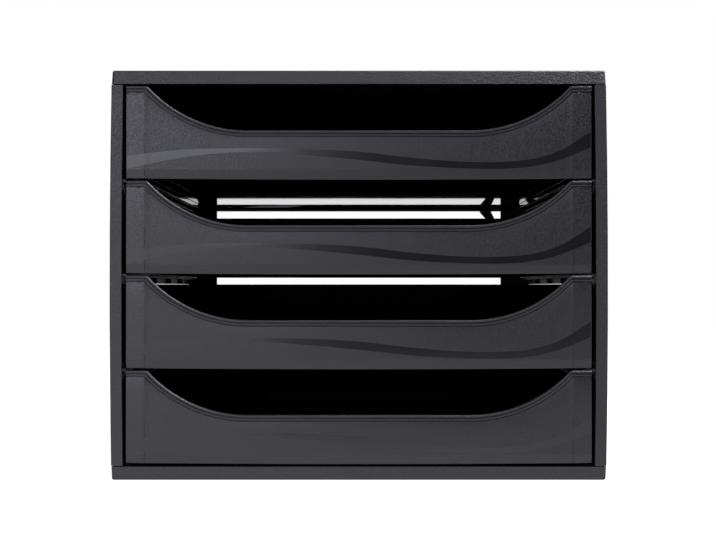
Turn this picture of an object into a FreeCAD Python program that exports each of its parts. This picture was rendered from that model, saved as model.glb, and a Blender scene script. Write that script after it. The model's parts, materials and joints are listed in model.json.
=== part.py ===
import FreeCAD, Part
import Sketcher
import math
import os

# A desktop set of four open-fronted drawers for papers, in a casing of two plates, two bowed side
# panels, a rear frame and three runner frames. Millimetres. +Z up, the drawers open towards -Y,
# and the origin is under the middle of the set, at the level that its feet stand on.

doc = FreeCAD.newDocument("drawer_set")
sheet = doc.addObject("Spreadsheet::Sheet", "Sizes")

driving_sizes = {
    # casing
    "case_depth": 348.0,
    "plate_width": 282.1,
    "top_plate_height": 7.8,
    "bottom_plate_height": 7.5,
    "plate_skin": 2.6,
    "plate_rim": 2.4,
    "plate_corner_radius": 2.0,
    "plate_edge_radius": 0.9,
    "plate_rib": 2.0,
    "plate_draft": 2.2,
    "panel_lip_width": 6.55,
    "panel_lip_depth": 8.0,
    "panel_rear_lip": 5.0,
    "panel_skin": 2.5,
    "panel_flange": 3.0,
    "panel_rib": 2.0,
    "panel_bow_out": 0.95,
    "panel_bow_in": 0.8,
    "panel_edge_radius": 0.8,
    "tab_length": 12.0,
    "tab_thickness": 2.0,
    "tab_height": 2.6,
    "tab_setback": 54.0,
    "fit_clearance": 0.3,
    # drawer fronts
    "front_height": 52.8,
    "front_gap": 1.3,
    "bottom_gap": 1.9,
    "top_gap": 1.1,
    "side_gap": 1.65,
    "front_recess": 0.6,
    "front_sag": 0.7,
    "front_thickness": 2.4,
    "front_edge_radius": 0.6,
    "bead_width": 2.5,
    "bead_proud": 0.5,
    "shoulder_width": 12.2,
    "cut_depth": 25.4,
    "cut_radius": 77.0,
    "kink_radius": 3.0,
    "clip_length": 8.0,
    "clip_thickness": 1.5,
    "clip_height": 5.8,
    "clip_tooth_length": 2.0,
    "clip_low_level": 9.0,
    "clip_high_level": 41.5,
    # trays
    "tray_inset": 2.9,
    "tray_wall": 1.8,
    "tray_underside": 2.65,
    "tray_top": 48.6,
    "tray_corner_radius": 4.0,
    "tray_edge_radius": 1.0,
    "tray_front_drop": 1.5,
    "stop_tab_length": 8.0,
    "stop_tab_reach": 2.8,
    "stop_tab_height": 5.8,
    # runners
    "running_clearance": 0.2,
    "ledge_overlap": 5.45,
    "runner_height": 2.85,
    "runner_wall": 1.5,
    "runner_setback": 12.0,
    "rear_rail_height": 2.6,
    "rear_rail_depth": 10.0,
    "ledge_rib": 1.3,
    "upper_rib": 1.5,
    "ledge_rib_setback": 2.5,
    "travel": 240.0,
    "stop_block_length": 4.0,
    "stop_block_height": 6.0,
    "floor_runner_width": 2.2,
    # rear frame
    "rear_frame_thickness": 3.0,
    "stile_width": 18.0,
    "crossbar_height": 10.0,
    "crossbar_lap": 1.45,
    "end_bar_height": 11.0,
    "brace_head": 10.0,
    "brace_offset": 8.5,
    "brace_drop": 21.3,
    "brace_foot": 4.0,
    # feet
    "foot_proud": 0.6,
    "foot_thickness": 2.0,
    "foot_radius": 6.0,
    "foot_chamfer": 0.4,
    "foot_seat_wall": 2.5,
    "foot_inset": 29.0,
    "foot_setback": 30.0,
}
for row, (alias, size) in enumerate(driving_sizes.items(), start=1):
    sheet.set(f"A{row}", alias)
    sheet.set(f"B{row}", str(size))
    sheet.setAlias(f"B{row}", alias)
doc.recompute()

drawer_count = 4
bay_columns = 5
plate_cells_across = 4
plate_cells_deep = 5
sag_steps = 6

# Levels, widths and depths that several pieces share, as expressions of the sheet's cells.
plate_bottom = "Sizes.foot_proud"
plate_top = "(Sizes.foot_proud + Sizes.bottom_plate_height)"
pitch = "(Sizes.front_height + Sizes.front_gap)"
panel_height = f"(Sizes.bottom_gap + {drawer_count}*{pitch} - Sizes.front_gap + Sizes.top_gap)"
panel_top = f"({plate_top} + {panel_height})"
half_width = "(Sizes.plate_width/2)"
half_depth = "(Sizes.case_depth/2)"
lip_face = f"({half_width} - Sizes.panel_lip_width)"
skin_face = f"({half_width} - Sizes.panel_skin)"
front_half = f"({lip_face} - Sizes.side_gap)"
tray_half = f"({front_half} - Sizes.tray_inset)"
ledge_face = f"({tray_half} - Sizes.ledge_overlap)"
front_face = f"({half_depth} - Sizes.front_recess)"
tray_front = f"({front_face} - Sizes.front_thickness)"
frame_front = f"({half_depth} - Sizes.rear_frame_thickness)"
tray_rear = f"({frame_front} - Sizes.fit_clearance)"
bay_front = f"({half_depth} - Sizes.panel_lip_depth)"
bay_rear = f"({frame_front} - Sizes.panel_rear_lip)"
window_half = f"({lip_face} - Sizes.stile_width)"
# Heights above the lower edge of the drawer's own front.
runner_level = "(Sizes.tray_underside - Sizes.running_clearance)"
runner_base = f"({runner_level} - Sizes.runner_height)"
lip_level = "(Sizes.front_height - Sizes.cut_depth)"
cut_centre = f"({lip_level} + Sizes.cut_radius)"
cut_reach = "sqrt(Sizes.cut_radius^2 - (Sizes.cut_radius - Sizes.cut_depth)^2)"
lip_half = f"({front_half} - Sizes.shoulder_width - {cut_reach})"
stop_face = f"({tray_rear} - Sizes.stop_tab_length - Sizes.travel - Sizes.fit_clearance)"
stop_inner = f"({tray_half} + 2*Sizes.fit_clearance)"
stop_outer = f"({lip_face} - Sizes.fit_clearance)"


def front_level(number):
    """Level of the lower edge of a drawer's front, counted from the top drawer."""
    return f"({plate_top} + Sizes.bottom_gap + {drawer_count - number}*{pitch})"


def number_of(expression):
    return float(sheet.evalExpression(str(expression)))


# Building blocks.

def new_body(name):
    return doc.addObject("PartDesign::Body", name)


def outline(body, name, plane, corners, bends=None, offset=None):
    """A closed sketch on one of the body's origin planes.

    corners are pairs of expressions, in anticlockwise order. bends maps the number of an edge to
    the radius expression of its arc: positive where it bulges outwards, negative where inwards.
    """
    bends = bends or {}
    sketch = body.newObject("Sketcher::SketchObject", f"{body.Name}_{name}")
    support = [part for part in body.Origin.OriginFeatures if part.Role == plane][0]
    sketch.AttachmentSupport = [(support, "")]
    sketch.MapMode = "FlatFace"
    if offset:
        sketch.setExpression("AttachmentOffset.Base.z", offset)
    points = [FreeCAD.Vector(number_of(x), number_of(y), 0) for x, y in corners]
    count = len(points)
    ends = []
    for edge in range(count):
        start, end = points[edge], points[(edge + 1) % count]
        if edge not in bends:
            sketch.addGeometry(Part.LineSegment(start, end))
            ends.append((1, 2))
            continue
        radius = number_of(bends[edge])
        sketch.addGeometry(arc_between(start, end, radius))
        # A sketch stores every arc anticlockwise, so one that bulges inwards is stored end first.
        ends.append((1, 2) if radius > 0 else (2, 1))
    for edge in range(count):
        follower = (edge + 1) % count
        meeting = Sketcher.Constraint("Coincident", edge, ends[edge][1], follower, ends[follower][0])
        sketch.addConstraint(meeting)
    for edge, place in enumerate(corners):
        for kind, expression, size in zip(("DistanceX", "DistanceY"), place, points[edge]):
            constraint = Sketcher.Constraint(kind, -1, 1, edge, ends[edge][0], size)
            index = sketch.addConstraint(constraint)
            sketch.setExpression(f"Constraints[{index}]", f"{expression}")
    for edge, radius in bends.items():
        constraint = Sketcher.Constraint("Radius", edge, abs(number_of(radius)))
        index = sketch.addConstraint(constraint)
        sketch.setExpression(f"Constraints[{index}]", f"abs({radius})")
    return sketch


def arc_between(start, end, radius):
    """A circular arc of less than half a turn; a negative radius bends it to the right."""
    chord = end - start
    middle = (start + end) * 0.5
    left = FreeCAD.Vector(-chord.y, chord.x, 0).normalize()
    height = math.sqrt(radius ** 2 - (chord.Length / 2) ** 2)
    centre = middle + left * math.copysign(height, radius)
    return Part.Arc(start, centre - left * radius, end)


def extrude(body, name, sketch, length, reverse=False, middle=False, kind="Pad"):
    feature = body.newObject(f"PartDesign::{kind}", f"{body.Name}_{name}")
    feature.Profile = sketch
    feature.setExpression("Length", length)
    feature.Reversed = reverse
    feature.SideType = "Symmetric" if middle else "One side"
    return feature


def round_edges(body, name, radius, chosen):
    """Fillet the edges of the body's last feature that the function picks."""
    doc.recompute()
    base = body.Tip
    names = [f"Edge{i}" for i, edge in enumerate(base.Shape.Edges, start=1) if chosen(edge)]
    if not names:
        raise ValueError(f"{body.Name}: no edge to round for {name}")
    feature = body.newObject("PartDesign::Fillet", f"{body.Name}_{name}")
    feature.Base = (base, names)
    feature.setExpression("Radius", radius)
    return feature


def runs_along(edge, axis):
    start, end = edge.Vertexes[0].Point, edge.Vertexes[-1].Point
    return start != end and abs(abs((end - start).normalize().dot(axis)) - 1) < 1e-6


def block(name, low, high):
    """A box between two corners, each a triple of expressions."""
    box = doc.addObject("Part::Box", name)
    for side, letter, start, end in zip(("Length", "Width", "Height"), "xyz", low, high):
        box.setExpression(side, f"{end} - ({start})")
        box.setExpression(f"Placement.Base.{letter}", f"{start}")
    return box


def block_pair(name, low, high):
    """The same box on the right of the set and mirrored on its left."""
    mirrored_low = (f"-({high[0]})", low[1], low[2])
    mirrored_high = (f"-({low[0]})", high[1], high[2])
    return [block(f"{name}_right", low, high), block(f"{name}_left", mirrored_low, mirrored_high)]


def cylinder(name, centre, radius, low, high):
    post = doc.addObject("Part::Cylinder", name)
    post.setExpression("Radius", radius)
    post.setExpression("Height", f"{high} - ({low})")
    for letter, place in zip("xyz", (centre[0], centre[1], low)):
        post.setExpression(f"Placement.Base.{letter}", f"{place}")
    return post


def cut(name, base, tools):
    """The base without the tools, which must not overlap each other."""
    group = doc.addObject("Part::Compound", f"{name}_tools")
    group.Links = tools
    result = doc.addObject("Part::Cut", name)
    result.Base = base
    result.Tool = group
    return result


def fuse(name, parts):
    result = doc.addObject("Part::MultiFuse", name)
    result.Shapes = parts
    result.Refine = True
    return result


def clone(label, source, level):
    """A copy of a body at another level, which follows the body's own sizes."""
    body = new_body(label)
    feature = doc.addObject("PartDesign::FeatureBase", f"{label}_base")
    feature.BaseFeature = source
    body.Group = [feature]
    body.Tip = feature
    body.setExpression("Placement.Base.z", level)
    return body


up = FreeCAD.Vector(0, 0, 1)
back = FreeCAD.Vector(0, 1, 0)
across = FreeCAD.Vector(1, 0, 0)
pieces = []


def finish_piece(label, piece):
    piece.Label = label
    pieces.append(piece)
    return piece


# The casing's plates: a skin with a rim, like a shallow tray.

def plate_blank(name, seam, outer, upward):
    """A plate's block, widest at its seam to the side panels and drafted towards its outer face."""
    body = new_body(name)
    corners = [
        (f"-{half_width}", f"-{half_depth}"),
        (half_width, f"-{half_depth}"),
        (half_width, half_depth),
        (f"-{half_width}", half_depth),
    ]
    sketch = outline(body, "outline", "XY_Plane", corners, offset=seam)
    pad = extrude(body, "block", sketch, f"abs({outer} - {seam})", reverse=not upward)
    pad.setExpression("TaperAngle", "-Sizes.plate_draft")
    round_edges(
        body, "corners", "Sizes.plate_corner_radius",
        lambda edge: abs(edge.Vertexes[0].Z - edge.Vertexes[-1].Z) > 1e-3)
    level = number_of(outer)
    round_edges(
        body, "outer_edges", "Sizes.plate_edge_radius",
        lambda edge: all(abs(vertex.Z - level) < 1e-6 for vertex in edge.Vertexes))
    return body


tab_places = {
    "front": f"(Sizes.tab_setback - {half_depth})",
    "middle": "0",
    "rear": f"({half_depth} - Sizes.tab_setback)",
}
tab_inner = f"({lip_face} + 2*Sizes.fit_clearance)"
tab_outer = f"({tab_inner} + Sizes.tab_thickness)"


def tabs(owner, low, high):
    """Upright tabs on both sides of a plate, which locate the side panels."""
    made = []
    for place, y in tab_places.items():
        start, end = f"{y} - Sizes.tab_length/2", f"{y} + Sizes.tab_length/2"
        made += block_pair(f"{owner}_tab_{place}", (tab_inner, start, low), (tab_outer, end, high))
    return made


rim_x = f"({half_width} - Sizes.plate_rim)"
rim_y = f"({half_depth} - Sizes.plate_rim)"


def top_plate():
    top = f"({panel_top} + Sizes.top_plate_height)"
    skin = f"({top} - Sizes.plate_skin)"
    blank = plate_blank("top_plate_blank", panel_top, top, upward=True)
    hollow = block(
        "top_plate_hollow", (f"-{rim_x}", f"-{rim_y}", panel_top), (rim_x, rim_y, skin))
    shell = cut("top_plate_shell", blank, [hollow])
    # Two ribs over the top drawer's side walls keep it from tipping when it is pulled out.
    ribs = block_pair(
        "top_plate_hold_down", (f"{tray_half} - Sizes.floor_runner_width", f"-{rim_y}", panel_top),
        (tray_half, rim_y, skin))
    return fuse("top_plate", [shell] + ribs + tabs("top_plate", f"{panel_top} - Sizes.tab_height", skin))


foot_x = f"({half_width} - Sizes.foot_inset)"
foot_y = f"({half_depth} - Sizes.foot_setback)"
foot_places = {
    "front_left": (f"-{foot_x}", f"-{foot_y}"),
    "front_right": (foot_x, f"-{foot_y}"),
    "rear_left": (f"-{foot_x}", foot_y),
    "rear_right": (foot_x, foot_y),
}
seat_radius = "(Sizes.foot_radius + Sizes.fit_clearance)"


def bottom_plate():
    skin = f"({plate_top} - Sizes.plate_skin)"
    blank = plate_blank("bottom_plate_blank", plate_top, plate_bottom, upward=False)
    cell_width = f"((2*{rim_x} - {plate_cells_across - 1}*Sizes.plate_rib)/{plate_cells_across})"
    cell_depth = f"((2*{rim_y} - {plate_cells_deep - 1}*Sizes.plate_rib)/{plate_cells_deep})"
    cells = []
    for column in range(plate_cells_across):
        left = f"({column}*({cell_width} + Sizes.plate_rib) - {rim_x})"
        for line in range(plate_cells_deep):
            near = f"({line}*({cell_depth} + Sizes.plate_rib) - {rim_y})"
            cells.append(block(
                f"bottom_plate_cell_{column}_{line}", (left, near, plate_bottom),
                (f"{left} + {cell_width}", f"{near} + {cell_depth}", skin)))
    shell = cut("bottom_plate_shell", blank, cells)
    level = front_level(drawer_count)
    # The lowest drawer runs on two ribs of this plate and stops at two blocks on it.
    additions = block_pair(
        "bottom_plate_runner", (ledge_face, f"Sizes.runner_setback - {half_depth}", skin),
        (f"{ledge_face} + Sizes.floor_runner_width", bay_rear, f"{level} + {runner_level}"))
    additions += block_pair(
        "bottom_plate_stop", (stop_inner, f"{stop_face} - Sizes.stop_block_length", skin),
        (stop_outer, stop_face, f"{level} + {runner_level} + Sizes.stop_block_height"))
    additions += tabs("bottom_plate", skin, f"{plate_top} + Sizes.tab_height")
    seats = []
    for place, centre in foot_places.items():
        boss_radius = f"{seat_radius} + Sizes.foot_seat_wall"
        additions.append(
            cylinder(f"bottom_plate_boss_{place}", centre, boss_radius, plate_bottom, skin))
        seats.append(cylinder(
            f"bottom_plate_seat_{place}", centre, seat_radius, plate_bottom, "Sizes.foot_thickness"))
    body = fuse("bottom_plate_body", [shell] + additions)
    return cut("bottom_plate", body, seats)


# Side panels: a bowed skin with a thick front lip, a rear rebate, flanges and ribs inside.

def bow_radius(rise):
    """Radius of an arc over the side panel's height that bulges by the rise."""
    return f"(({panel_height}/2)^2 + {rise}^2)/(2*{rise})"


def panel_blank():
    body = new_body("side_panel_blank")
    corners = [
        (lip_face, plate_top),
        (half_width, plate_top),
        (half_width, panel_top),
        (lip_face, panel_top),
    ]
    bends = {1: bow_radius("Sizes.panel_bow_out"), 3: f"-({bow_radius('Sizes.panel_bow_in')})"}
    profile = outline(body, "profile", "XZ_Plane", corners, bends)
    extrude(body, "block", profile, "Sizes.case_depth", middle=True)
    nose = -number_of(half_depth)
    wall = number_of(half_width)
    round_edges(
        body, "front_edge", "Sizes.panel_edge_radius",
        lambda edge: all(
            abs(vertex.Y - nose) < 1e-6 and vertex.X > wall - 1e-6 for vertex in edge.Vertexes))
    return body


def side_panel():
    inside = f"{lip_face} - Sizes.panel_lip_width"
    shelf_tops = [f"({plate_top} + Sizes.panel_flange)"]
    shelf_undersides = []
    grooves = []
    ledges = []
    groove_front = f"Sizes.runner_setback - {half_depth} - Sizes.fit_clearance"
    for number in range(drawer_count - 1, 0, -1):
        low = f"({front_level(number)} + {runner_base})"
        high = f"({front_level(number)} + {runner_level})"
        shelf_undersides.append(f"({low} - Sizes.ledge_rib)")
        shelf_tops.append(f"({high} + Sizes.upper_rib)")
        grooves.append(block(
            f"side_panel_groove_{number}", (inside, groove_front, low), (skin_face, bay_rear, high)))
        # A thin rib carries the runner frame; its front end shows beside the drawer fronts.
        ledges.append(block(
            f"side_panel_ledge_{number}",
            (f"{front_half} + Sizes.fit_clearance", f"Sizes.ledge_rib_setback - {half_depth}",
             f"{low} - Sizes.ledge_rib"),
            (f"{skin_face} + Sizes.fit_clearance", bay_rear, low)))
    shelf_undersides.append(f"({panel_top} - Sizes.panel_flange)")
    column_width = f"(({bay_rear} + {bay_front} - {bay_columns - 1}*Sizes.panel_rib)/{bay_columns})"
    bays = []
    for column in range(bay_columns):
        near = f"({column}*({column_width} + Sizes.panel_rib) - {bay_front})"
        for bay, (low, high) in enumerate(zip(shelf_tops, shelf_undersides)):
            bays.append(block(
                f"side_panel_bay_{column}_{bay}", (inside, near, low),
                (skin_face, f"{near} + {column_width}", high)))
    rebate = block("side_panel_rebate", (inside, frame_front, plate_top), (skin_face, half_depth, panel_top))
    slots = []
    for place, y in tab_places.items():
        start = f"{y} - Sizes.tab_length/2 - Sizes.fit_clearance"
        end = f"{y} + Sizes.tab_length/2 + Sizes.fit_clearance"
        for side, low in (("low", plate_top), ("high", f"({panel_top} - Sizes.panel_flange)")):
            slots.append(block(
                f"side_panel_slot_{side}_{place}", (f"{tab_inner} - Sizes.fit_clearance", start, low),
                (f"{tab_outer} + Sizes.fit_clearance", end, f"{low} + Sizes.panel_flange")))
    ribbed = cut("side_panel_ribbed", panel_blank(), bays)
    slotted = cut("side_panel_slotted", ribbed, grooves + slots + [rebate])
    return fuse("side_panel_right", [slotted] + ledges)


def mirrored(name, source):
    """The other hand of a piece, mirrored across the set's middle."""
    twin = doc.addObject("Part::Mirroring", name)
    twin.Source = source
    twin.Normal = across
    return twin


finish_piece("top_plate", top_plate())
finish_piece("bottom_plate", bottom_plate())
right_panel = finish_piece("side_panel_right", side_panel())
finish_piece("side_panel_left", mirrored("side_panel_left", right_panel))


# Runner frames: two channel-shaped ledges joined by a rail at the back.

def runner_frame():
    outer = f"({skin_face} - Sizes.fit_clearance)"
    start = f"Sizes.runner_setback - {half_depth}"
    inner_wall = f"({ledge_face} + Sizes.runner_wall)"
    outer_wall = f"({outer} - Sizes.runner_wall)"
    web = f"({runner_level} - Sizes.runner_wall)"
    side_end = f"({bay_rear} - Sizes.fit_clearance)"
    ledges = block_pair(
        "runner_web", (ledge_face, start, web), (outer, side_end, runner_level))
    ledges += block_pair(
        "runner_inner_wall", (ledge_face, start, runner_base), (inner_wall, side_end, runner_level))
    ledges += block_pair(
        "runner_outer_wall", (outer_wall, start, runner_base), (outer, side_end, runner_level))
    ledges += block_pair(
        "runner_stop", (stop_inner, f"{stop_face} - Sizes.stop_block_length", web),
        (stop_outer, stop_face, f"{runner_level} + Sizes.stop_block_height"))
    rail = block(
        "runner_rail", (f"-{stop_outer}", f"{frame_front} - Sizes.rear_rail_depth",
                        f"{runner_level} - Sizes.rear_rail_height"),
        (stop_outer, frame_front, runner_level))
    return fuse("runner_frame", ledges + [rail])


# Rear frame: two stiles, a bar at each end, a crossbar that laps each runner frame and one brace.

def rear_frame():
    foot = f"({plate_top} + Sizes.fit_clearance)"
    head = f"({panel_top} - Sizes.fit_clearance)"
    side = f"({skin_face} - Sizes.fit_clearance)"
    sheet_block = block("rear_frame_sheet", (f"-{side}", frame_front, foot), (side, half_depth, head))
    bar_bottoms = []
    for number in range(drawer_count - 1, 0, -1):
        bar_bottoms.append(f"({front_level(number)} + {runner_level} - Sizes.crossbar_lap)")
    bar_bottoms.append(f"({head} - Sizes.end_bar_height)")
    sill = f"({foot} + Sizes.end_bar_height)"
    windows = []
    for row, bar in enumerate(bar_bottoms, start=1):
        windows.append(block(
            f"rear_frame_window_{row}", (f"-{window_half}", f"{frame_front} - Sizes.rear_frame_thickness", sill),
            (window_half, f"{half_depth} + Sizes.rear_frame_thickness", bar)))
        sill = f"({bar} + Sizes.crossbar_height)"
    frame = cut("rear_frame_open", sheet_block, windows)
    # A tapered brace runs from the highest crossbar down to the right stile.
    bar = bar_bottoms[drawer_count - 2]
    head_end = f"({window_half} - Sizes.brace_offset)"
    brace_body = new_body("rear_frame_brace")
    overlap = "Sizes.fit_clearance"
    corners = [
        (f"{head_end} - Sizes.brace_head", f"{bar} + {overlap}"),
        (f"{window_half} + {overlap}", f"{bar} - Sizes.brace_drop"),
        (f"{window_half} + {overlap}", f"{bar} - Sizes.brace_drop + Sizes.brace_foot"),
        (head_end, f"{bar} + {overlap}"),
    ]
    profile = outline(brace_body, "profile", "XZ_Plane", corners, offset=f"-{frame_front}")
    extrude(brace_body, "bar", profile, "Sizes.rear_frame_thickness", reverse=True)
    return fuse("rear_frame", [frame, brace_body])


def foot(place, centre):
    body = new_body(f"foot_{place}")
    corners = [
        ("0", "0"),
        ("Sizes.foot_radius - Sizes.foot_chamfer", "0"),
        ("Sizes.foot_radius", "Sizes.foot_chamfer"),
        ("Sizes.foot_radius", "Sizes.foot_thickness"),
        ("0", "Sizes.foot_thickness"),
    ]
    profile = outline(body, "profile", "XZ_Plane", corners)
    turned = body.newObject("PartDesign::Revolution", f"{body.Name}_disc")
    turned.Profile = profile
    turned.ReferenceAxis = (profile, ["V_Axis"])
    turned.Angle = 360
    for letter, expression in zip("xy", centre):
        body.setExpression(f"Placement.Base.{letter}", expression)
    return body


# Trays: an open shell whose front wall is cut down a little lower than the drawer's front.

def tray():
    body = new_body("tray")
    corners = [
        (f"-{tray_half}", f"-{tray_front}"),
        (tray_half, f"-{tray_front}"),
        (tray_half, tray_rear),
        (f"-{tray_half}", tray_rear),
    ]
    floor = outline(body, "floor", "XY_Plane", corners, offset="Sizes.tray_underside")
    extrude(body, "block", floor, "Sizes.tray_top - Sizes.tray_underside")
    round_edges(body, "corners", "Sizes.tray_corner_radius", lambda edge: runs_along(edge, up))
    underside = number_of("Sizes.tray_underside")
    round_edges(
        body, "floor_edges", "Sizes.tray_edge_radius",
        lambda edge: all(abs(vertex.Z - underside) < 1e-6 for vertex in edge.Vertexes))
    inner_half = f"({tray_half} - Sizes.tray_wall)"
    inner_front = f"(Sizes.tray_wall - {tray_front})"
    inner_rear = f"({tray_rear} - Sizes.tray_wall)"
    inner_corners = [
        (f"-{inner_half}", inner_front),
        (inner_half, inner_front),
        (inner_half, inner_rear),
        (f"-{inner_half}", inner_rear),
    ]
    inner_floor = "(Sizes.tray_underside + Sizes.tray_wall)"
    inside = outline(body, "inside", "XY_Plane", inner_corners, offset=inner_floor)
    extrude(
        body, "hollow", inside, f"Sizes.tray_top - {inner_floor}", reverse=True, kind="Pocket")
    inner_x = number_of(inner_half)
    inner_ends = (number_of(inner_front), number_of(inner_rear))
    round_edges(
        body, "inner_corners", "Sizes.tray_corner_radius - Sizes.tray_wall",
        lambda edge: runs_along(edge, up) and all(
            abs(abs(vertex.X) - inner_x) < 1e-6
            and any(abs(vertex.Y - end) < 1e-6 for end in inner_ends)
            for vertex in edge.Vertexes))
    low_radius = "(Sizes.cut_radius + Sizes.tray_front_drop)"
    reach = f"sqrt({low_radius}^2 - ({cut_centre} - Sizes.tray_top)^2)"
    sill = f"({lip_level} - Sizes.tray_front_drop)"
    mouth = [
        (f"-{lip_half}", sill),
        (lip_half, sill),
        (f"{lip_half} + {reach}", "Sizes.tray_top"),
        (f"-({lip_half} + {reach})", "Sizes.tray_top"),
    ]
    opening = outline(
        body, "mouth", "XZ_Plane", mouth, {1: low_radius, 3: low_radius},
        offset=f"{tray_front} + Sizes.fit_clearance")
    extrude(
        body, "cut_out", opening, "Sizes.tray_corner_radius + Sizes.fit_clearance", kind="Pocket")
    return body


def drawer_tray():
    # Tabs at the rear corners meet the stop blocks; slots in the side walls take the front's clips.
    tabs_out = block_pair(
        "tray_stop_tab",
        (f"{tray_half} - Sizes.tray_wall", f"{stop_face} + Sizes.travel + Sizes.fit_clearance",
         f"{runner_level} + 2*Sizes.fit_clearance"),
        (f"{tray_half} + Sizes.stop_tab_reach", f"{tray_rear} - Sizes.tray_corner_radius",
         f"{runner_level} + 2*Sizes.fit_clearance + Sizes.stop_tab_height"))
    slots = []
    for name, level in clip_levels.items():
        half_height = "(Sizes.clip_height/2 + Sizes.fit_clearance)"
        slots += block_pair(
            f"tray_clip_slot_{name}",
            (f"{tray_half} - 2*Sizes.tray_wall", f"{tooth_start} - Sizes.fit_clearance",
             f"{level} - {half_height}"),
            (f"{tray_half} + Sizes.tray_wall", f"{clip_end} + Sizes.fit_clearance",
             f"{level} + {half_height}"))
    return cut("drawer_tray", fuse("tray_with_tabs", [tray()] + tabs_out), slots)


clip_levels = {"low": "Sizes.clip_low_level", "high": "Sizes.clip_high_level"}
clip_end = f"(Sizes.clip_length - {tray_front})"
tooth_start = f"({clip_end} - Sizes.clip_tooth_length)"


# Drawer fronts: a panel with a swept cut-out, a raised bead along its top and four clip arms.

def front_panel():
    body = new_body("front")
    corners = []
    for step in range(sag_steps + 1):
        x = f"({2 * step - sag_steps}*{front_half}/{sag_steps})"
        corners.append((x, f"Sizes.front_sag*(({x}/{front_half})^2 - 1)"))
    corners += [
        (front_half, "Sizes.front_height"),
        (f"{lip_half} + {cut_reach}", "Sizes.front_height"),
        (lip_half, lip_level),
        (f"-{lip_half}", lip_level),
        (f"-({lip_half} + {cut_reach})", "Sizes.front_height"),
        (f"-{front_half}", "Sizes.front_height"),
    ]
    hollow_radius = "-Sizes.cut_radius"
    panel = outline(
        body, "panel", "XZ_Plane", corners,
        {sag_steps + 2: hollow_radius, sag_steps + 4: hollow_radius}, offset=tray_front)
    extrude(body, "plate", panel, "Sizes.front_thickness")
    face = -number_of(front_face)
    round_edges(
        body, "face_edges", "Sizes.front_edge_radius",
        lambda edge: all(abs(vertex.Y - face) < 1e-6 for vertex in edge.Vertexes)
        and any(vertex.Z < 1e-6 for vertex in edge.Vertexes))
    # The bead follows the whole top edge and stands a little proud of the panel.
    bead_radius = "(Sizes.cut_radius + Sizes.bead_width)"
    bead_top = "(Sizes.front_height - Sizes.bead_width)"
    bead_reach = f"sqrt({bead_radius}^2 - ({cut_centre} - {bead_top})^2)"
    bead_corners = [
        (front_half, bead_top),
        (front_half, "Sizes.front_height"),
        (f"{lip_half} + {cut_reach}", "Sizes.front_height"),
        (lip_half, lip_level),
        (f"-{lip_half}", lip_level),
        (f"-({lip_half} + {cut_reach})", "Sizes.front_height"),
        (f"-{front_half}", "Sizes.front_height"),
        (f"-{front_half}", bead_top),
        (f"-({lip_half} + {bead_reach})", bead_top),
        (f"-{lip_half}", f"{lip_level} - Sizes.bead_width"),
        (lip_half, f"{lip_level} - Sizes.bead_width"),
        (f"{lip_half} + {bead_reach}", bead_top),
    ]
    bends = {2: hollow_radius, 4: hollow_radius, 8: bead_radius, 10: bead_radius}
    bead = outline(
        body, "bead_line", "XZ_Plane", bead_corners, bends,
        offset=f"{front_face} - Sizes.front_thickness/2")
    extrude(body, "bead", bead, "Sizes.bead_proud + Sizes.front_thickness/2")
    kink = number_of(f"{lip_half} + {cut_reach}")
    top = number_of("Sizes.front_height")
    round_edges(
        body, "kinks", "Sizes.kink_radius",
        lambda edge: runs_along(edge, back) and all(
            abs(abs(vertex.X) - kink) < 1e-6 and abs(vertex.Z - top) < 1e-6
            for vertex in edge.Vertexes))
    return body


def drawer_front():
    arm_inner = f"({tray_half} + Sizes.fit_clearance)"
    arm_outer = f"({arm_inner} + Sizes.clip_thickness)"
    clips = []
    for name, level in clip_levels.items():
        low = f"({level} - Sizes.clip_height/2)"
        high = f"({level} + Sizes.clip_height/2)"
        clips += block_pair(
            f"front_clip_arm_{name}", (arm_inner, f"-{front_face} + Sizes.front_thickness/2", low),
            (arm_outer, clip_end, high))
        clips += block_pair(
            f"front_clip_tooth_{name}",
            (f"{tray_half} - Sizes.tray_wall + 2*Sizes.fit_clearance", tooth_start, low),
            (arm_outer, clip_end, high))
    return fuse("drawer_front", [front_panel()] + clips)


finish_piece("rear_frame", rear_frame())
frame_pattern = runner_frame()
for number in range(1, drawer_count):
    label = f"runner_frame_{number}"
    finish_piece(label, clone(label, frame_pattern, front_level(number)))
for place, centre in foot_places.items():
    finish_piece(f"foot_{place}", foot(place, centre))
tray_pattern = drawer_tray()
front_pattern = drawer_front()
for number in range(1, drawer_count + 1):
    label = f"tray_{number}"
    finish_piece(label, clone(label, tray_pattern, front_level(number)))
    label = f"front_{number}"
    finish_piece(label, clone(label, front_pattern, front_level(number)))

doc.recompute()
for item in doc.Objects:
    if "Invalid" in item.State or "Error" in item.State:
        raise ValueError(f"{item.Label} failed: {item.State}")
for piece in pieces:
    if piece.Shape.isNull() or not piece.Shape.isValid() or len(piece.Shape.Solids) != 1:
        raise ValueError(f"{piece.Label} is not one valid solid")

os.makedirs("parts", exist_ok=True)
for piece in pieces:
    piece.Shape.exportStep(f"parts/{piece.Label}.step")
    box = piece.Shape.BoundBox
    print(f"{piece.Label:18s} {box.XLength:7.1f} {box.YLength:7.1f} {box.ZLength:7.1f}"
          f"  volume {piece.Shape.Volume:9.0f}")
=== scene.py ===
import bpy
import json
import math
from mathutils import Matrix, Vector

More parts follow.
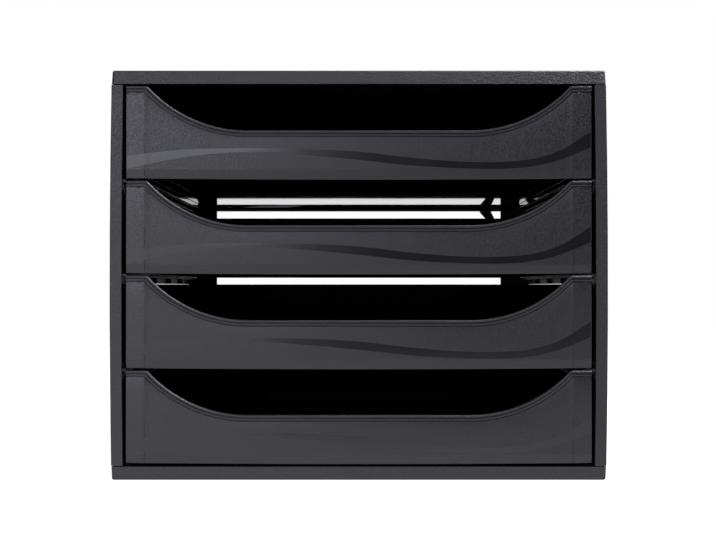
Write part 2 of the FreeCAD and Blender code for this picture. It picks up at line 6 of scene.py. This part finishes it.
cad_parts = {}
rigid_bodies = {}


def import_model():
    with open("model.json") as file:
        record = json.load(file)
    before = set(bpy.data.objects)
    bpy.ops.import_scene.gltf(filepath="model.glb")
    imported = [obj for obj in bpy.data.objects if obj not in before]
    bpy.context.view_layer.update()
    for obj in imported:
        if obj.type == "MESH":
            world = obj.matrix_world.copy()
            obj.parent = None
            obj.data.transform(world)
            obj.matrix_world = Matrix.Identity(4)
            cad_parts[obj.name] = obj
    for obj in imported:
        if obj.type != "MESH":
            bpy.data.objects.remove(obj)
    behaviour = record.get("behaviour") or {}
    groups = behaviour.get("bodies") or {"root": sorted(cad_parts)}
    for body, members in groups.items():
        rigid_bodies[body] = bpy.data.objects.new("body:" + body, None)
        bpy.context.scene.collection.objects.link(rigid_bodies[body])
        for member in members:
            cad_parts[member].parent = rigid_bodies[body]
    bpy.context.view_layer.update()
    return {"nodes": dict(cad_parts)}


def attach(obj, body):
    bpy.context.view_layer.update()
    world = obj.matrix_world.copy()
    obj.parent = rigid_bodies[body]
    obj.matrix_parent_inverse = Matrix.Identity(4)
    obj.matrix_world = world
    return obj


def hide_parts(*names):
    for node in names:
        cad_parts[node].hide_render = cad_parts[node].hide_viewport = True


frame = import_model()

mm = 0.001  # sizes are in millimetres and angles in degrees, unless a note says otherwise
tiny = 1e-6  # less than any real length or step
drawerNumbers = (1, 2, 3, 4)  # counted from the top


# small helpers

def deselectAll():
    if bpy.context.object and bpy.context.object.mode != "OBJECT":
        bpy.ops.object.mode_set(mode="OBJECT")
    bpy.ops.object.select_all(action="DESELECT")


def activate(piece):
    deselectAll()
    piece.select_set(True)
    bpy.context.view_layer.objects.active = piece


def editAll(piece):
    # edit mode, with the whole mesh selected
    activate(piece)
    bpy.ops.object.mode_set(mode="EDIT")
    bpy.ops.mesh.select_all(action="SELECT")


def applyModifiers(piece):
    activate(piece)
    for modifier in list(piece.modifiers):
        bpy.ops.object.modifier_apply(modifier=modifier.name)


def settle(piece):
    # place, turn and scale go into the mesh
    activate(piece)
    bpy.ops.object.transform_apply(location=True, rotation=True, scale=True)


def smooth(piece, degrees):
    activate(piece)
    bpy.ops.object.shade_smooth_by_angle(angle=math.radians(degrees))


def flatten(piece):
    # large faces set the normals beside them, so that they mirror without a bend
    weighted = piece.modifiers.new("FaceWeights", "WEIGHTED_NORMAL")
    weighted.keep_sharp = True
    applyModifiers(piece)


def setMaterial(piece, material):
    piece.data.materials.clear()
    piece.data.materials.append(material)


def unite(main, others):
    for other in others:
        modifier = main.modifiers.new("Union", "BOOLEAN")
        modifier.operation = "UNION"
        modifier.solver = "EXACT"
        modifier.object = other
        applyModifiers(main)
        bpy.data.objects.remove(other)


def twin(piece, name, shift):
    # a copy with its own mesh, moved within the mesh
    copy = piece.copy()
    copy.data = piece.data.copy()
    copy.name = name
    bpy.context.scene.collection.objects.link(copy)
    copy.data.transform(Matrix.Translation(shift))
    return copy


# materials

def linear(hexText):
    channels = [int(hexText[i:i + 2], 16) / 255 for i in (1, 3, 5)]
    return [c / 12.92 if c <= 0.04045 else ((c + 0.055) / 1.055) ** 2.4 for c in channels] + [1.0]


def addNode(tree, kind, settings=None, **links):
    # settings go to the node or its sockets, and links to its sockets, each by its name, or
    # by its place as i0 or i1; a mix of colours takes them at i6 and i7 and gives output 2
    node = tree.nodes.new(kind)

    def socket(name):
        byPlace = name[0] == "i" and name[1:].isdigit()
        return node.inputs[int(name[1:]) if byPlace else name]

    for name, value in (settings or {}).items():
        if hasattr(node, name):
            setattr(node, name, value)
        else:
            socket(name).default_value = value
    for name, source in links.items():
        tree.links.new(source, socket(name))
    return node


def newMaterial(name):
    material = bpy.data.materials.new(name)
    material.use_nodes = True
    tree = material.node_tree
    shader = tree.nodes["Principled BSDF"]
    return material, tree, shader


def sparkTexturedStyrene(name, sizes):
    # polystyrene moulded against spark-eroded steel: dark, matt, with a fine sparkle
    material, tree, shader = newMaterial(name)
    shader.inputs["IOR"].default_value = sizes["ior"]
    place = addNode(tree, "ShaderNodeTexCoord").outputs["Object"]
    # the real grain is about 0.2 mm; it is drawn coarser so that it shows
    grain = addNode(tree, "ShaderNodeTexNoise", {
        "Scale": 1 / (sizes["grain"] * mm), "Detail": 2.0, "Roughness": 0.6}, Vector=place)
    cloud = addNode(tree, "ShaderNodeTexNoise", {
        "Scale": 1 / (sizes["cloud"] * mm), "Detail": 2.0}, Vector=place)
    tone = addNode(tree, "ShaderNodeMix", {
        "data_type": "RGBA", "i6": linear(sizes["dark"]), "i7": linear(sizes["light"])},
        i0=cloud.outputs["Fac"])
    tree.links.new(tone.outputs[2], shader.inputs["Base Color"])
    spread = addNode(tree, "ShaderNodeMapRange", {
        "From Min": 0.3, "From Max": 0.7,
        "To Min": sizes["roughness"] - sizes["sparkle"],
        "To Max": sizes["roughness"] + sizes["sparkle"]}, Value=grain.outputs["Fac"])
    tree.links.new(spread.outputs["Result"], shader.inputs["Roughness"])
    bump = addNode(tree, "ShaderNodeBump", {
        "Strength": sizes["bump"], "Distance": sizes["grain"] * mm * sizes["steepness"]},
        Height=grain.outputs["Fac"])
    tree.links.new(bump.outputs["Normal"], shader.inputs["Normal"])
    return material


def polishedStyrene(name, sizes):
    # polystyrene from a polished mould: near black, with a clear mirror and slight flow waves
    material, tree, shader = newMaterial(name)
    shader.inputs["IOR"].default_value = sizes["ior"]
    place = addNode(tree, "ShaderNodeTexCoord").outputs["Object"]
    flow = addNode(tree, "ShaderNodeTexNoise", {
        "Scale": 1 / (sizes["flow"] * mm), "Detail": 1.0}, Vector=place)
    tone = addNode(tree, "ShaderNodeMix", {
        "data_type": "RGBA", "i6": linear(sizes["dark"]), "i7": linear(sizes["light"])},
        i0=flow.outputs["Fac"])
    tree.links.new(tone.outputs[2], shader.inputs["Base Color"])
    spread = addNode(tree, "ShaderNodeMapRange", {
        "To Min": sizes["roughness"] * (1 - sizes["drift"]),
        "To Max": sizes["roughness"] * (1 + sizes["drift"])}, Value=flow.outputs["Fac"])
    tree.links.new(spread.outputs["Result"], shader.inputs["Roughness"])
    bump = addNode(tree, "ShaderNodeBump", {
        "Strength": sizes["bump"], "Distance": sizes["flowHeight"] * mm},
        Height=flow.outputs["Fac"])
    tree.links.new(bump.outputs["Normal"], shader.inputs["Normal"])
    return material


def mouldedRubber(name, sizes):
    # moulded rubber: dark, dull, with a soft grain
    material, tree, shader = newMaterial(name)
    shader.inputs["IOR"].default_value = sizes["ior"]
    shader.inputs["Roughness"].default_value = sizes["roughness"]
    place = addNode(tree, "ShaderNodeTexCoord").outputs["Object"]
    grain = addNode(tree, "ShaderNodeTexNoise", {
        "Scale": 1 / (sizes["grain"] * mm), "Detail": 3.0}, Vector=place)
    tone = addNode(tree, "ShaderNodeMix", {
        "data_type": "RGBA", "i6": linear(sizes["dark"]), "i7": linear(sizes["light"])},
        i0=grain.outputs["Fac"])
    tree.links.new(tone.outputs[2], shader.inputs["Base Color"])
    bump = addNode(tree, "ShaderNodeBump", {
        "Strength": sizes["bump"], "Distance": sizes["grainHeight"] * mm},
        Height=grain.outputs["Fac"])
    tree.links.new(bump.outputs["Normal"], shader.inputs["Normal"])
    return material


# grain, cloud and flow are the width of a pattern's spots in millimetres
casingStyrene = sparkTexturedStyrene("casingSparkStyrene", {
    "ior": 1.59, "grain": 1.2, "cloud": 14, "dark": "#18181b", "light": "#1d1d20",
    "roughness": 0.44, "sparkle": 0.1, "bump": 0.8, "steepness": 0.35})
frontStyrene = sparkTexturedStyrene("frontSparkStyrene", {
    "ior": 1.59, "grain": 0.9, "cloud": 9, "dark": "#17171a", "light": "#1a1a1e",
    "roughness": 0.4, "sparkle": 0.1, "bump": 0.55, "steepness": 0.22})
trayStyrene = polishedStyrene("trayPolishedStyrene", {
    "ior": 1.55, "flow": 18, "dark": "#080809", "light": "#0b0b0c",
    "roughness": 0.03, "drift": 0.2, "bump": 0.05, "flowHeight": 0.2})
waveStyrene = polishedStyrene("waveSatinStyrene", {
    "ior": 1.59, "flow": 25, "dark": "#141417", "light": "#17171a",
    "roughness": 0.2, "drift": 0.2, "bump": 0.05, "flowHeight": 0.2})
footRubber = mouldedRubber("footMouldedRubber", {
    "ior": 1.52, "grain": 0.8, "dark": "#161616", "light": "#1d1d1d",
    "roughness": 0.7, "bump": 0.3, "grainHeight": 0.1})
print("materials made")


# moulded pieces that keep their solid's shape: merged, with their edges softly rounded

moulding = {
    "weld": 0.002, "flatAngle": 0.5, "edgeAngle": 32, "edgeSegments": 2, "shadeAngle": 35,
    "casingEdge": 0.3, "runnerEdge": 0.25, "trayEdge": 0.3, "footEdge": 0.2,
}
sidePanel = {"low": 8.1, "high": 226.2, "seam": 0.6, "near": 0.01}  # near: still at its end
topPlate = {"low": 226.2, "rimY": -170.0, "lean": 0.1}


def openSeams(piece):
    # the side panels stop short of the plates, which leaves the dark line between them
    for vertex in piece.data.vertices:
        if abs(vertex.co.z / mm - sidePanel["low"]) < sidePanel["near"]:
            vertex.co.z += sidePanel["seam"] * mm
        elif abs(vertex.co.z / mm - sidePanel["high"]) < sidePanel["near"]:
            vertex.co.z -= sidePanel["seam"] * mm


def leanRim(piece):
    # the top plate's front rim leans back a little, as its mould needs
    for vertex in piece.data.vertices:
        if vertex.co.y < topPlate["rimY"] * mm:
            vertex.co.y += topPlate["lean"] * (vertex.co.z - topPlate["low"] * mm)


def mouldedPiece(node, name, body, material, edgeRadius, reshape=None):
    piece = bpy.data.objects.new(name, frame["nodes"][node].data.copy())
    bpy.context.scene.collection.objects.link(piece)
    activate(piece)
    if piece.data.has_custom_normals:
        bpy.ops.mesh.customdata_custom_splitnormals_clear()
    editAll(piece)
    bpy.ops.mesh.remove_doubles(threshold=moulding["weld"] * mm)
    bpy.ops.mesh.dissolve_limited(angle_limit=math.radians(moulding["flatAngle"]))
    bpy.ops.object.mode_set(mode="OBJECT")
    if reshape:
        reshape(piece)
    bevel = piece.modifiers.new("EdgeRadius", "BEVEL")
    bevel.width = edgeRadius * mm
    bevel.segments = moulding["edgeSegments"]
    bevel.limit_method = "ANGLE"
    bevel.angle_limit = math.radians(moulding["edgeAngle"])
    applyModifiers(piece)
    setMaterial(piece, material)
    smooth(piece, moulding["shadeAngle"])
    flatten(piece)
    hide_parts(node)
    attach(piece, body)


for node, name, reshape in (
        ("top_plate", "topPlate", leanRim), ("bottom_plate", "bottomPlate", None),
        ("side_panel_left", "sidePanelLeft", openSeams),
        ("side_panel_right", "sidePanelRight", openSeams), ("rear_frame", "rearFrame", None)):
    mouldedPiece(node, name, "casing",
                 casingStyrene, moulding["casingEdge"], reshape)
for number in drawerNumbers[:-1]:  # the lowest drawer runs on the bottom plate
    mouldedPiece(f"runner_frame_{number}", f"runnerFrame{number}", "casing",
                 trayStyrene, moulding["runnerEdge"])
for number in drawerNumbers:
    mouldedPiece(f"tray_{number}", f"tray{number}", f"drawer_{number}",
                 trayStyrene, moulding["trayEdge"])
for place in ("front_left", "front_right", "rear_left", "rear_right"):
    side = place.title().replace("_", "")
    mouldedPiece(f"foot_{place}", f"foot{side}", "casing",
                 footRubber, moulding["footEdge"])
print("casing, runner frames, trays and feet dressed")


# drawer fronts: one section drawn at each station along the swept top edge

front = {
    "halfWidth": 132.85, "height": 52.8, "backY": -171.0, "faceY": -173.4,
    "sag": 0.7,  # of the lower edge, at its middle
    "shoulder": 12.2,  # the level stretch at each end of the top edge
    "cutDepth": 25.4, "cutRadius": 77.0, "kinkRadius": 3.0,
    "lowerRound": 0.5, "endRound": 0.35, "endReach": 1.5,  # endReach: how far behind the face
    "shoulderSteps": 9, "kinkSteps": 9, "arcSteps": 42, "lipSteps": 30, "lowerSteps": 4,
    "endSegments": 3, "mostLean": 0.78, "weld": 0.001, "shadeAngle": 32,
}
front["lipLevel"] = front["height"] - front["cutDepth"]
front["lipHalf"] = front["halfWidth"] - front["shoulder"] - math.sqrt(
    front["cutRadius"] ** 2 - (front["cutRadius"] - front["cutDepth"]) ** 2)

# the bead along the top edge: two rolls with a groove between them and one at its foot, as
# (distance from the edge, depth below the crest)
bead = {
    "width": 3.7, "crestY": -173.9, "round": 0.75, "roundSteps": 7,
    "profile": ((3.55, 1.35), (3.4, 1.5), (3.15, 1.5), (2.95, 0.82), (2.75, 0.7), (2.4, 0.64),
                (2.1, 0.76), (1.95, 1.02), (1.75, 1.05), (1.6, 0.85), (1.35, 0.3), (1.15, 0.07),
                (0.95, 0.0)),
}

# the face isn't flat: it sinks towards the bead, turns in at its foot, and turns in at its
# ends after a low upright ridge; the rows are the section's levels and distances from the bead
relief = {
    "flareReach": 16.0, "flareDepth": 0.3, "curlDepth": 0.35, "curlReach": 3.5,
    "footLevel": 5.0, "footTilt": 0.11,
    "ridgePlace": 122.3, "ridgeWidth": 3.0, "ridgeTilt": 0.05, "endTilt": 0.06,
    "footRows": (1.2, 2.4, 3.6, 4.6, 4.9, 5.2, 5.7, 7.0), "middleLevel": 8.0, "middleRows": 4,
    "flareRows": (16, 13, 10, 7.5, 5.5, 4, 2.8, 1.8, 1, 0.4, 0),
    "leastMiddle": 1, "leastRow": 0.01,  # these keep the rows in order where the front is low
}


def beadDistance(x, z):
    # how far a point of the face lies from the bead's lower line
    aside = max(abs(x) - front["lipHalf"], 0)
    below = front["lipLevel"] + front["cutRadius"] - z
    sweep = math.hypot(aside, below) - front["cutRadius"] - bead["width"]
    return max(min(sweep, front["height"] - bead["width"] - z), 0)


def faceRecess(x, z):
    away = beadDistance(x, z)
    recess = relief["flareDepth"] * (1 - min(away / relief["flareReach"], 1)) ** 2
    recess += relief["curlDepth"] * math.exp(-away / relief["curlReach"])
    recess += relief["footTilt"] * max(relief["footLevel"] - z, 0)
    beyond, width = abs(x) - relief["ridgePlace"], relief["ridgeWidth"]
    recess -= relief["ridgeTilt"] * min(max(beyond + width, 0), width)
    return recess + relief["endTilt"] * max(beyond, 0)


def insetSpot(place, inward, inset):
    # a point inside the top edge; past the corner's radius, the lines meet in a mitre
    spot = place + inward * inset
    line = front["height"] - inset
    if inset <= front["kinkRadius"] or spot.y < line - tiny:
        return spot
    drop = front["lipLevel"] + front["cutRadius"] - line
    mitre = front["lipHalf"] + math.sqrt((front["cutRadius"] + inset) ** 2 - drop ** 2)
    if abs(inward.x) < tiny:
        mitre = max(mitre, abs(place.x))
    return Vector((math.copysign(mitre, place.x), line))


def stations():
    # (top point, inward direction) pairs along the upper edge, right to left
    half, height, kink = front["halfWidth"], front["height"], front["kinkRadius"]
    centre = Vector((front["lipHalf"], front["lipLevel"] + front["cutRadius"]))
    level = height - kink
    reach = front["cutRadius"] + kink
    kinkX = centre.x + math.sqrt(reach ** 2 - (centre.y - level) ** 2)
    turn = math.atan2(kinkX - centre.x, centre.y - level)
    down = Vector((0, -1))
    found = []
    for step in range(front["shoulderSteps"]):
        x = half + (kinkX - half) * step / front["shoulderSteps"]
        found.append((Vector((x, height)), down))
    for step in range(front["kinkSteps"]):
        angle = turn * step / front["kinkSteps"]
        outward = Vector((-math.sin(angle), math.cos(angle)))
        found.append((Vector((kinkX, level)) + outward * kink, -outward))
    for step in range(front["arcSteps"]):
        angle = turn * (1 - step / front["arcSteps"])
        inward = Vector((math.sin(angle), -math.cos(angle)))
        found.append((centre + inward * front["cutRadius"], inward))
    for step in range(front["lipSteps"] + 1):
        x = front["lipHalf"] * (1 - step / front["lipSteps"])
        found.append((Vector((x, front["lipLevel"])), down))
    for place, inward in reversed(found[:-1]):
        found.append((Vector((-place.x, place.y)), Vector((-inward.x, inward.y))))
    return found


def section(place, inward):
    # the front's closed section at a station, from the back's foot round to the top
    base = insetSpot(place, inward, bead["width"])
    aside = max(abs(base.x) - front["lipHalf"], 0)
    lean = min(aside / (front["cutRadius"] + bead["width"]), front["mostLean"])
    stretch = 1 / math.sqrt(1 - lean ** 2)
    foot = front["sag"] * ((base.x / front["halfWidth"]) ** 2 - 1)
    backY = front["backY"]

    def onFace(z):
        return (base.x, front["faceY"] + faceRecess(base.x, z), z)

    def onBead(inset, depth):
        spot = insetSpot(place, inward, inset)
        return (spot.x, bead["crestY"] + depth, spot.y)

    turn = front["lowerRound"]
    cornerY = onFace(foot + turn)[1]
    points = [(base.x, backY, foot), (base.x, cornerY + turn, foot)]
    for step in range(1, front["lowerSteps"] + 1):
        angle = math.pi / 2 * step / front["lowerSteps"]
        y = cornerY + turn * (1 - math.sin(angle))
        points.append((base.x, y, foot + turn * (1 - math.cos(angle))))
    points += [onFace(z) for z in relief["footRows"]]
    reach, rows = relief["flareReach"], relief["middleRows"]
    start = relief["middleLevel"]
    least = start + relief["leastMiddle"]
    end = max(base.y - reach * stretch, least)
    points += [onFace(start + (end - start) * step / rows) for step in range(rows)]
    for away in relief["flareRows"]:
        z = max(base.y - away * stretch, least + (reach - away) * relief["leastRow"])
        points.append(onFace(z))
    points += [onBead(inset, depth) for inset, depth in bead["profile"]]
    for step in range(bead["roundSteps"] + 1):
        angle = math.pi / 2 * step / bead["roundSteps"]
        inset, depth = 1 - math.sin(angle), 1 - math.cos(angle)
        points.append(onBead(bead["round"] * inset, bead["round"] * depth))
    points += [(place.x, backY, place.y), (base.x, backY, base.y), points[0]]
    return points


def shapedGrid(name, columns):
    # a grid whose columns of vertices are placed one by one
    rows = len(columns[0])
    deselectAll()
    bpy.ops.mesh.primitive_grid_add(
        x_subdivisions=rows - 1, y_subdivisions=len(columns) - 1, size=1)
    piece = bpy.context.object
    piece.name = name
    for index, vertex in enumerate(piece.data.vertices):
        vertex.co = Vector(columns[index // rows][index % rows]) * mm
    return piece


def selectEdges(piece, test):
    # selects the edges whose two ends both pass the test
    activate(piece)
    bpy.ops.object.mode_set(mode="EDIT")
    bpy.ops.mesh.select_mode(type="EDGE")
    bpy.ops.mesh.select_all(action="DESELECT")
    bpy.ops.object.mode_set(mode="OBJECT")
    for edge in piece.data.edges:
        edge.select = all(test(piece.data.vertices[index].co / mm) for index in edge.vertices)
    bpy.ops.object.mode_set(mode="EDIT")


def frontShell():
    shell = shapedGrid("drawerFront", [section(place, inward) for place, inward in stations()])
    edge = front["halfWidth"] - front["weld"]
    editAll(shell)
    bpy.ops.mesh.remove_doubles(threshold=front["weld"] * mm)
    for side in (-1, 1):
        bpy.ops.object.mode_set(mode="OBJECT")
        selectEdges(shell, lambda place: side * place.x > edge)
        bpy.ops.mesh.edge_face_add()
    bpy.ops.mesh.select_all(action="SELECT")
    bpy.ops.mesh.normals_make_consistent(inside=False)
    bpy.ops.object.mode_set(mode="OBJECT")
    behind = front["faceY"] + front["endReach"]
    for side in (-1, 1):
        selectEdges(shell, lambda place: side * place.x > edge and place.y < behind)
        bpy.ops.mesh.bevel(
            offset=front["endRound"] * mm, segments=front["endSegments"], affect="EDGES")
        bpy.ops.object.mode_set(mode="OBJECT")
    return shell


# each clip is an arm that reaches back along the tray's wall, with a tooth at its end
clip = {
    "levels": (9.0, 41.5), "height": 5.8, "outer": 131.75,
    "armInner": 130.25, "toothInner": 128.75, "endY": -163.0, "toothLength": 2.0,
    "overlap": 1.2,  # of the arm's root, inside the front
    "edge": 0.15, "edgeSegments": 2,
}


def bevelledBox(name, low, high):
    deselectAll()
    centre = [(a + b) / 2 * mm for a, b in zip(low, high)]
    bpy.ops.mesh.primitive_cube_add(size=1, location=centre)
    piece = bpy.context.object
    piece.name = name
    piece.scale = [(b - a) * mm for a, b in zip(low, high)]
    settle(piece)
    editAll(piece)
    bpy.ops.mesh.bevel(offset=clip["edge"] * mm, segments=clip["edgeSegments"], affect="EDGES")
    bpy.ops.object.mode_set(mode="OBJECT")
    return piece


def clipArms():
    arms = []
    for level in clip["levels"]:
        low, high = level - clip["height"] / 2, level + clip["height"] / 2
        for side in (-1, 1):
            for kind, inner, start in (
                    ("arm", clip["armInner"], front["backY"] - clip["overlap"]),
                    ("tooth", clip["toothInner"], clip["endY"] - clip["toothLength"])):
                left, right = sorted((side * inner, side * clip["outer"]))
                arms.append(bevelledBox(kind, (left, start, low), (right, clip["endY"], high)))
    return arms


drawerFront = frontShell()
unite(drawerFront, clipArms())
setMaterial(drawerFront, frontStyrene)
smooth(drawerFront, front["shadeAngle"])
print("drawer front modelled:", len(drawerFront.data.polygons), "faces")

# the wave: a satin band polished into the mould, as (x, top, bottom) above the lower edge
wave = {
    "stations": ((-132.2, 13.0, 5.5), (-100, 16.4, 12.0), (-62, 17.3, 15.2), (-24.5, 16.6, 12.9),
                 (0.9, 15.2, 10.5), (30, 11.8, 7.4), (60.7, 9.5, 5.8), (85, 9.6, 5.7),
                 (101.5, 11.6, 7.4), (116, 16.6, 11.2), (132.2, 26.6, 17.7)),
    "proud": 0.04, "depth": 0.2, "columns": 176, "rows": 10, "shadeAngle": 20,
}


def smoothCurve(known, x):
    # a cubic through known (x, value) pairs
    index = max(i for i in range(len(known) - 1) if known[i][0] <= x + tiny)
    (x0, v0), (x1, v1) = known[index], known[index + 1]

    def slope(i):
        before, after = known[max(i - 1, 0)], known[min(i + 1, len(known) - 1)]
        return (after[1] - before[1]) / (after[0] - before[0])

    t, gap = (x - x0) / (x1 - x0), x1 - x0
    return ((2 * t ** 3 - 3 * t ** 2 + 1) * v0 + (t ** 3 - 2 * t ** 2 + t) * gap * slope(index)
            + (3 * t ** 2 - 2 * t ** 3) * v1 + (t ** 3 - t ** 2) * gap * slope(index + 1))


def waveBand():
    upper = [(x, top) for x, top, bottom in wave["stations"]]
    lower = [(x, bottom) for x, top, bottom in wave["stations"]]
    first, last = upper[0][0], upper[-1][0]
    columns = []
    for step in range(wave["columns"] + 1):
        x = first + (last - first) * step / wave["columns"]
        top, bottom = smoothCurve(upper, x), smoothCurve(lower, x)
        column = []
        for row in range(wave["rows"] + 1):
            z = bottom + (top - bottom) * row / wave["rows"]
            y = front["faceY"] + faceRecess(x, z)
            column.append((x, y - wave["proud"], z))
        columns.append(column)
    strip = shapedGrid("waveBand", columns)
    editAll(strip)
    bpy.ops.mesh.extrude_region_move(TRANSFORM_OT_translate={"value": (0, wave["depth"] * mm, 0)})
    bpy.ops.mesh.select_all(action="SELECT")
    bpy.ops.mesh.normals_make_consistent(inside=False)
    bpy.ops.object.mode_set(mode="OBJECT")
    return strip


band = waveBand()
setMaterial(band, waveStyrene)
smooth(band, wave["shadeAngle"])

# the level of a front's ends, where it doesn't sag: the lowest drawer's, and the step up
rack = {"lowestLevel": 10.0, "pitch": 54.1}
for number in drawerNumbers:
    level = rack["lowestLevel"] + (len(drawerNumbers) - number) * rack["pitch"]
    shift = (0, 0, level * mm)
    piece = twin(drawerFront, f"drawerFront{number}", shift)
    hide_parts(f"front_{number}")
    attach(piece, f"drawer_{number}")
    stripe = twin(band, f"waveBand{number}", shift)
    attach(stripe, f"drawer_{number}")
bpy.data.objects.remove(drawerFront)
bpy.data.objects.remove(band)
print("four drawer fronts and wave bands placed")


# floor, world, lamps and camera

# the table's lengths are in metres; tableGlow and tableMirror are its white to the camera and
# to mirrors, which see the world dim in front of the object (darkSide) and white behind it
studio = {
    "tableWidth": 3.2, "tableFront": -0.95, "tableBack": 2.4, "tableCuts": 3,
    "tableTone": "#e6e6e6", "shadowTone": "#c4c4c4", "tableGlow": 0.96, "tableMirror": 1.0,
    "ambient": 0.1, "darkSide": 0.01, "darkTo": -0.1, "whiteFrom": 0.3,
}
deselectAll()
bpy.ops.mesh.primitive_plane_add(
    size=1, location=(0, (studio["tableFront"] + studio["tableBack"]) / 2, 0))
table = bpy.context.object
table.name = "paleTable"
table.scale = (studio["tableWidth"], studio["tableBack"] - studio["tableFront"], 1)
editAll(table)
bpy.ops.mesh.subdivide(number_cuts=studio["tableCuts"])
bpy.ops.object.mode_set(mode="OBJECT")
settle(table)

# laminated board: pale and matt; the camera and mirrors see it as white as the background
board = bpy.data.materials.new("paleBoard")
board.use_nodes = True
tree = board.node_tree
tree.nodes.clear()
out = tree.nodes.new("ShaderNodeOutputMaterial")
path = tree.nodes.new("ShaderNodeLightPath")
bounce = addNode(tree, "ShaderNodeBsdfDiffuse", {"Color": linear(studio["tableTone"])})
shadow = addNode(tree, "ShaderNodeBsdfDiffuse", {"Color": linear(studio["shadowTone"])})
glow = addNode(tree, "ShaderNodeEmission", {"Strength": studio["tableGlow"]})
white = addNode(tree, "ShaderNodeEmission", {"Strength": studio["tableMirror"]})
seen = addNode(tree, "ShaderNodeAddShader", {}, i0=shadow.outputs[0], i1=glow.outputs[0])
direct = addNode(tree, "ShaderNodeMixShader", {}, i0=path.outputs["Is Camera Ray"],
                 i1=bounce.outputs[0], i2=seen.outputs[0])
mirrored = addNode(tree, "ShaderNodeMath", {"operation": "MAXIMUM"},
                   i0=path.outputs["Is Glossy Ray"], i1=path.outputs["Is Transmission Ray"])
mixed = addNode(tree, "ShaderNodeMixShader", {}, i0=mirrored.outputs[0],
                i1=direct.outputs[0], i2=white.outputs[0])
tree.links.new(mixed.outputs[0], out.inputs["Surface"])
table.data.materials.append(board)

world = bpy.data.worlds.new("studioWorld")
bpy.context.scene.world = world
world.use_nodes = True
tree = world.node_tree
tree.nodes.clear()
out = tree.nodes.new("ShaderNodeOutputWorld")
path = tree.nodes.new("ShaderNodeLightPath")
direction = addNode(tree, "ShaderNodeTexCoord").outputs["Generated"]
split = addNode(tree, "ShaderNodeSeparateXYZ", {}, i0=direction)
backwards = addNode(tree, "ShaderNodeMapRange", {
    "From Min": studio["darkTo"], "From Max": studio["whiteFrom"],
    "To Min": studio["darkSide"], "To Max": 1.0}, Value=split.outputs["Y"])
mirror = addNode(tree, "ShaderNodeMath", {"operation": "MULTIPLY"},
                 i0=path.outputs["Is Glossy Ray"], i1=backwards.outputs["Result"])
direct = addNode(tree, "ShaderNodeMath", {"operation": "MAXIMUM"},
                 i0=path.outputs["Is Camera Ray"], i1=path.outputs["Is Transmission Ray"])
shown = addNode(tree, "ShaderNodeMath", {"operation": "MAXIMUM"},
                i0=direct.outputs[0], i1=mirror.outputs[0])
soft = addNode(tree, "ShaderNodeMath", {"operation": "MULTIPLY", "i1": studio["ambient"]},
               i0=path.outputs["Is Diffuse Ray"])
strength = addNode(tree, "ShaderNodeMath", {"operation": "MAXIMUM"},
                   i0=shown.outputs[0], i1=soft.outputs[0])
backdrop = addNode(tree, "ShaderNodeBackground", {"Color": (1, 1, 1, 1)},
                   Strength=strength.outputs[0])
tree.links.new(backdrop.outputs[0], out.inputs["Surface"])

# soft boxes: (place, aim, width and height, watts), in metres; the light is faintly violet
lampTint = "#f0f0ff"
lamps = {
    "keyLeftHigh": ((-0.76, -1.5, 0.62), (-0.76, 0, 0.62), (1.25, 0.62), 9.0),
    "keyLeftLow": ((-0.76, -1.5, 0.14), (-0.76, 0, 0.14), (1.25, 0.34), 1.9),
    "topRight": ((0.9, -0.7, 1.3), (0, -0.1, 0.12), (0.6, 0.6), 6),
    "topGraze": ((0.55, -0.27, 1.25), (0, -0.174, 0.15), (0.4, 0.1), 18),
    "topNearRight": ((0.38, -0.45, 0.75), (0.1, -0.174, 0.23), (0.2, 0.15), 3.4),
}

# the lamps light all but the polished trays, which would mirror them as bright shapes
litPieces = bpy.data.collections.new("litByLamps")
for piece in bpy.context.scene.objects:
    if piece.type == "MESH" and not piece.name.startswith("tray"):
        litPieces.objects.link(piece)

for name, (place, aim, (width, height), watts) in lamps.items():
    light = bpy.data.lights.new(name, "AREA")
    light.shape = "RECTANGLE"
    light.size, light.size_y = width, height
    light.energy = watts
    light.color = linear(lampTint)[:3]
    lamp = bpy.data.objects.new(name, light)
    bpy.context.scene.collection.objects.link(lamp)
    lamp.light_linking.receiver_collection = litPieces
    lamp.location = place
    lamp.rotation_euler = (Vector(aim) - Vector(place)).to_track_quat("-Z", "Y").to_euler()

# the camera's place is in metres; a tilt of 90 looks level
view = {
    "place": (0, -0.954, 0.110), "tilt": 90.4, "sensor": 36, "lens": 68.9,
    "shift": (-0.0011, 0.0114),
}
camera = bpy.data.cameras.new("productCamera")
camera.sensor_width = view["sensor"]
camera.lens = view["lens"]
camera.shift_x, camera.shift_y = view["shift"]
viewer = bpy.data.objects.new("productCamera", camera)
bpy.context.scene.collection.objects.link(viewer)
viewer.location = view["place"]
viewer.rotation_euler = (math.radians(view["tilt"]), 0, 0)
bpy.context.scene.camera = viewer
bpy.context.scene.view_settings.view_transform = "Standard"
print("studio and camera set")
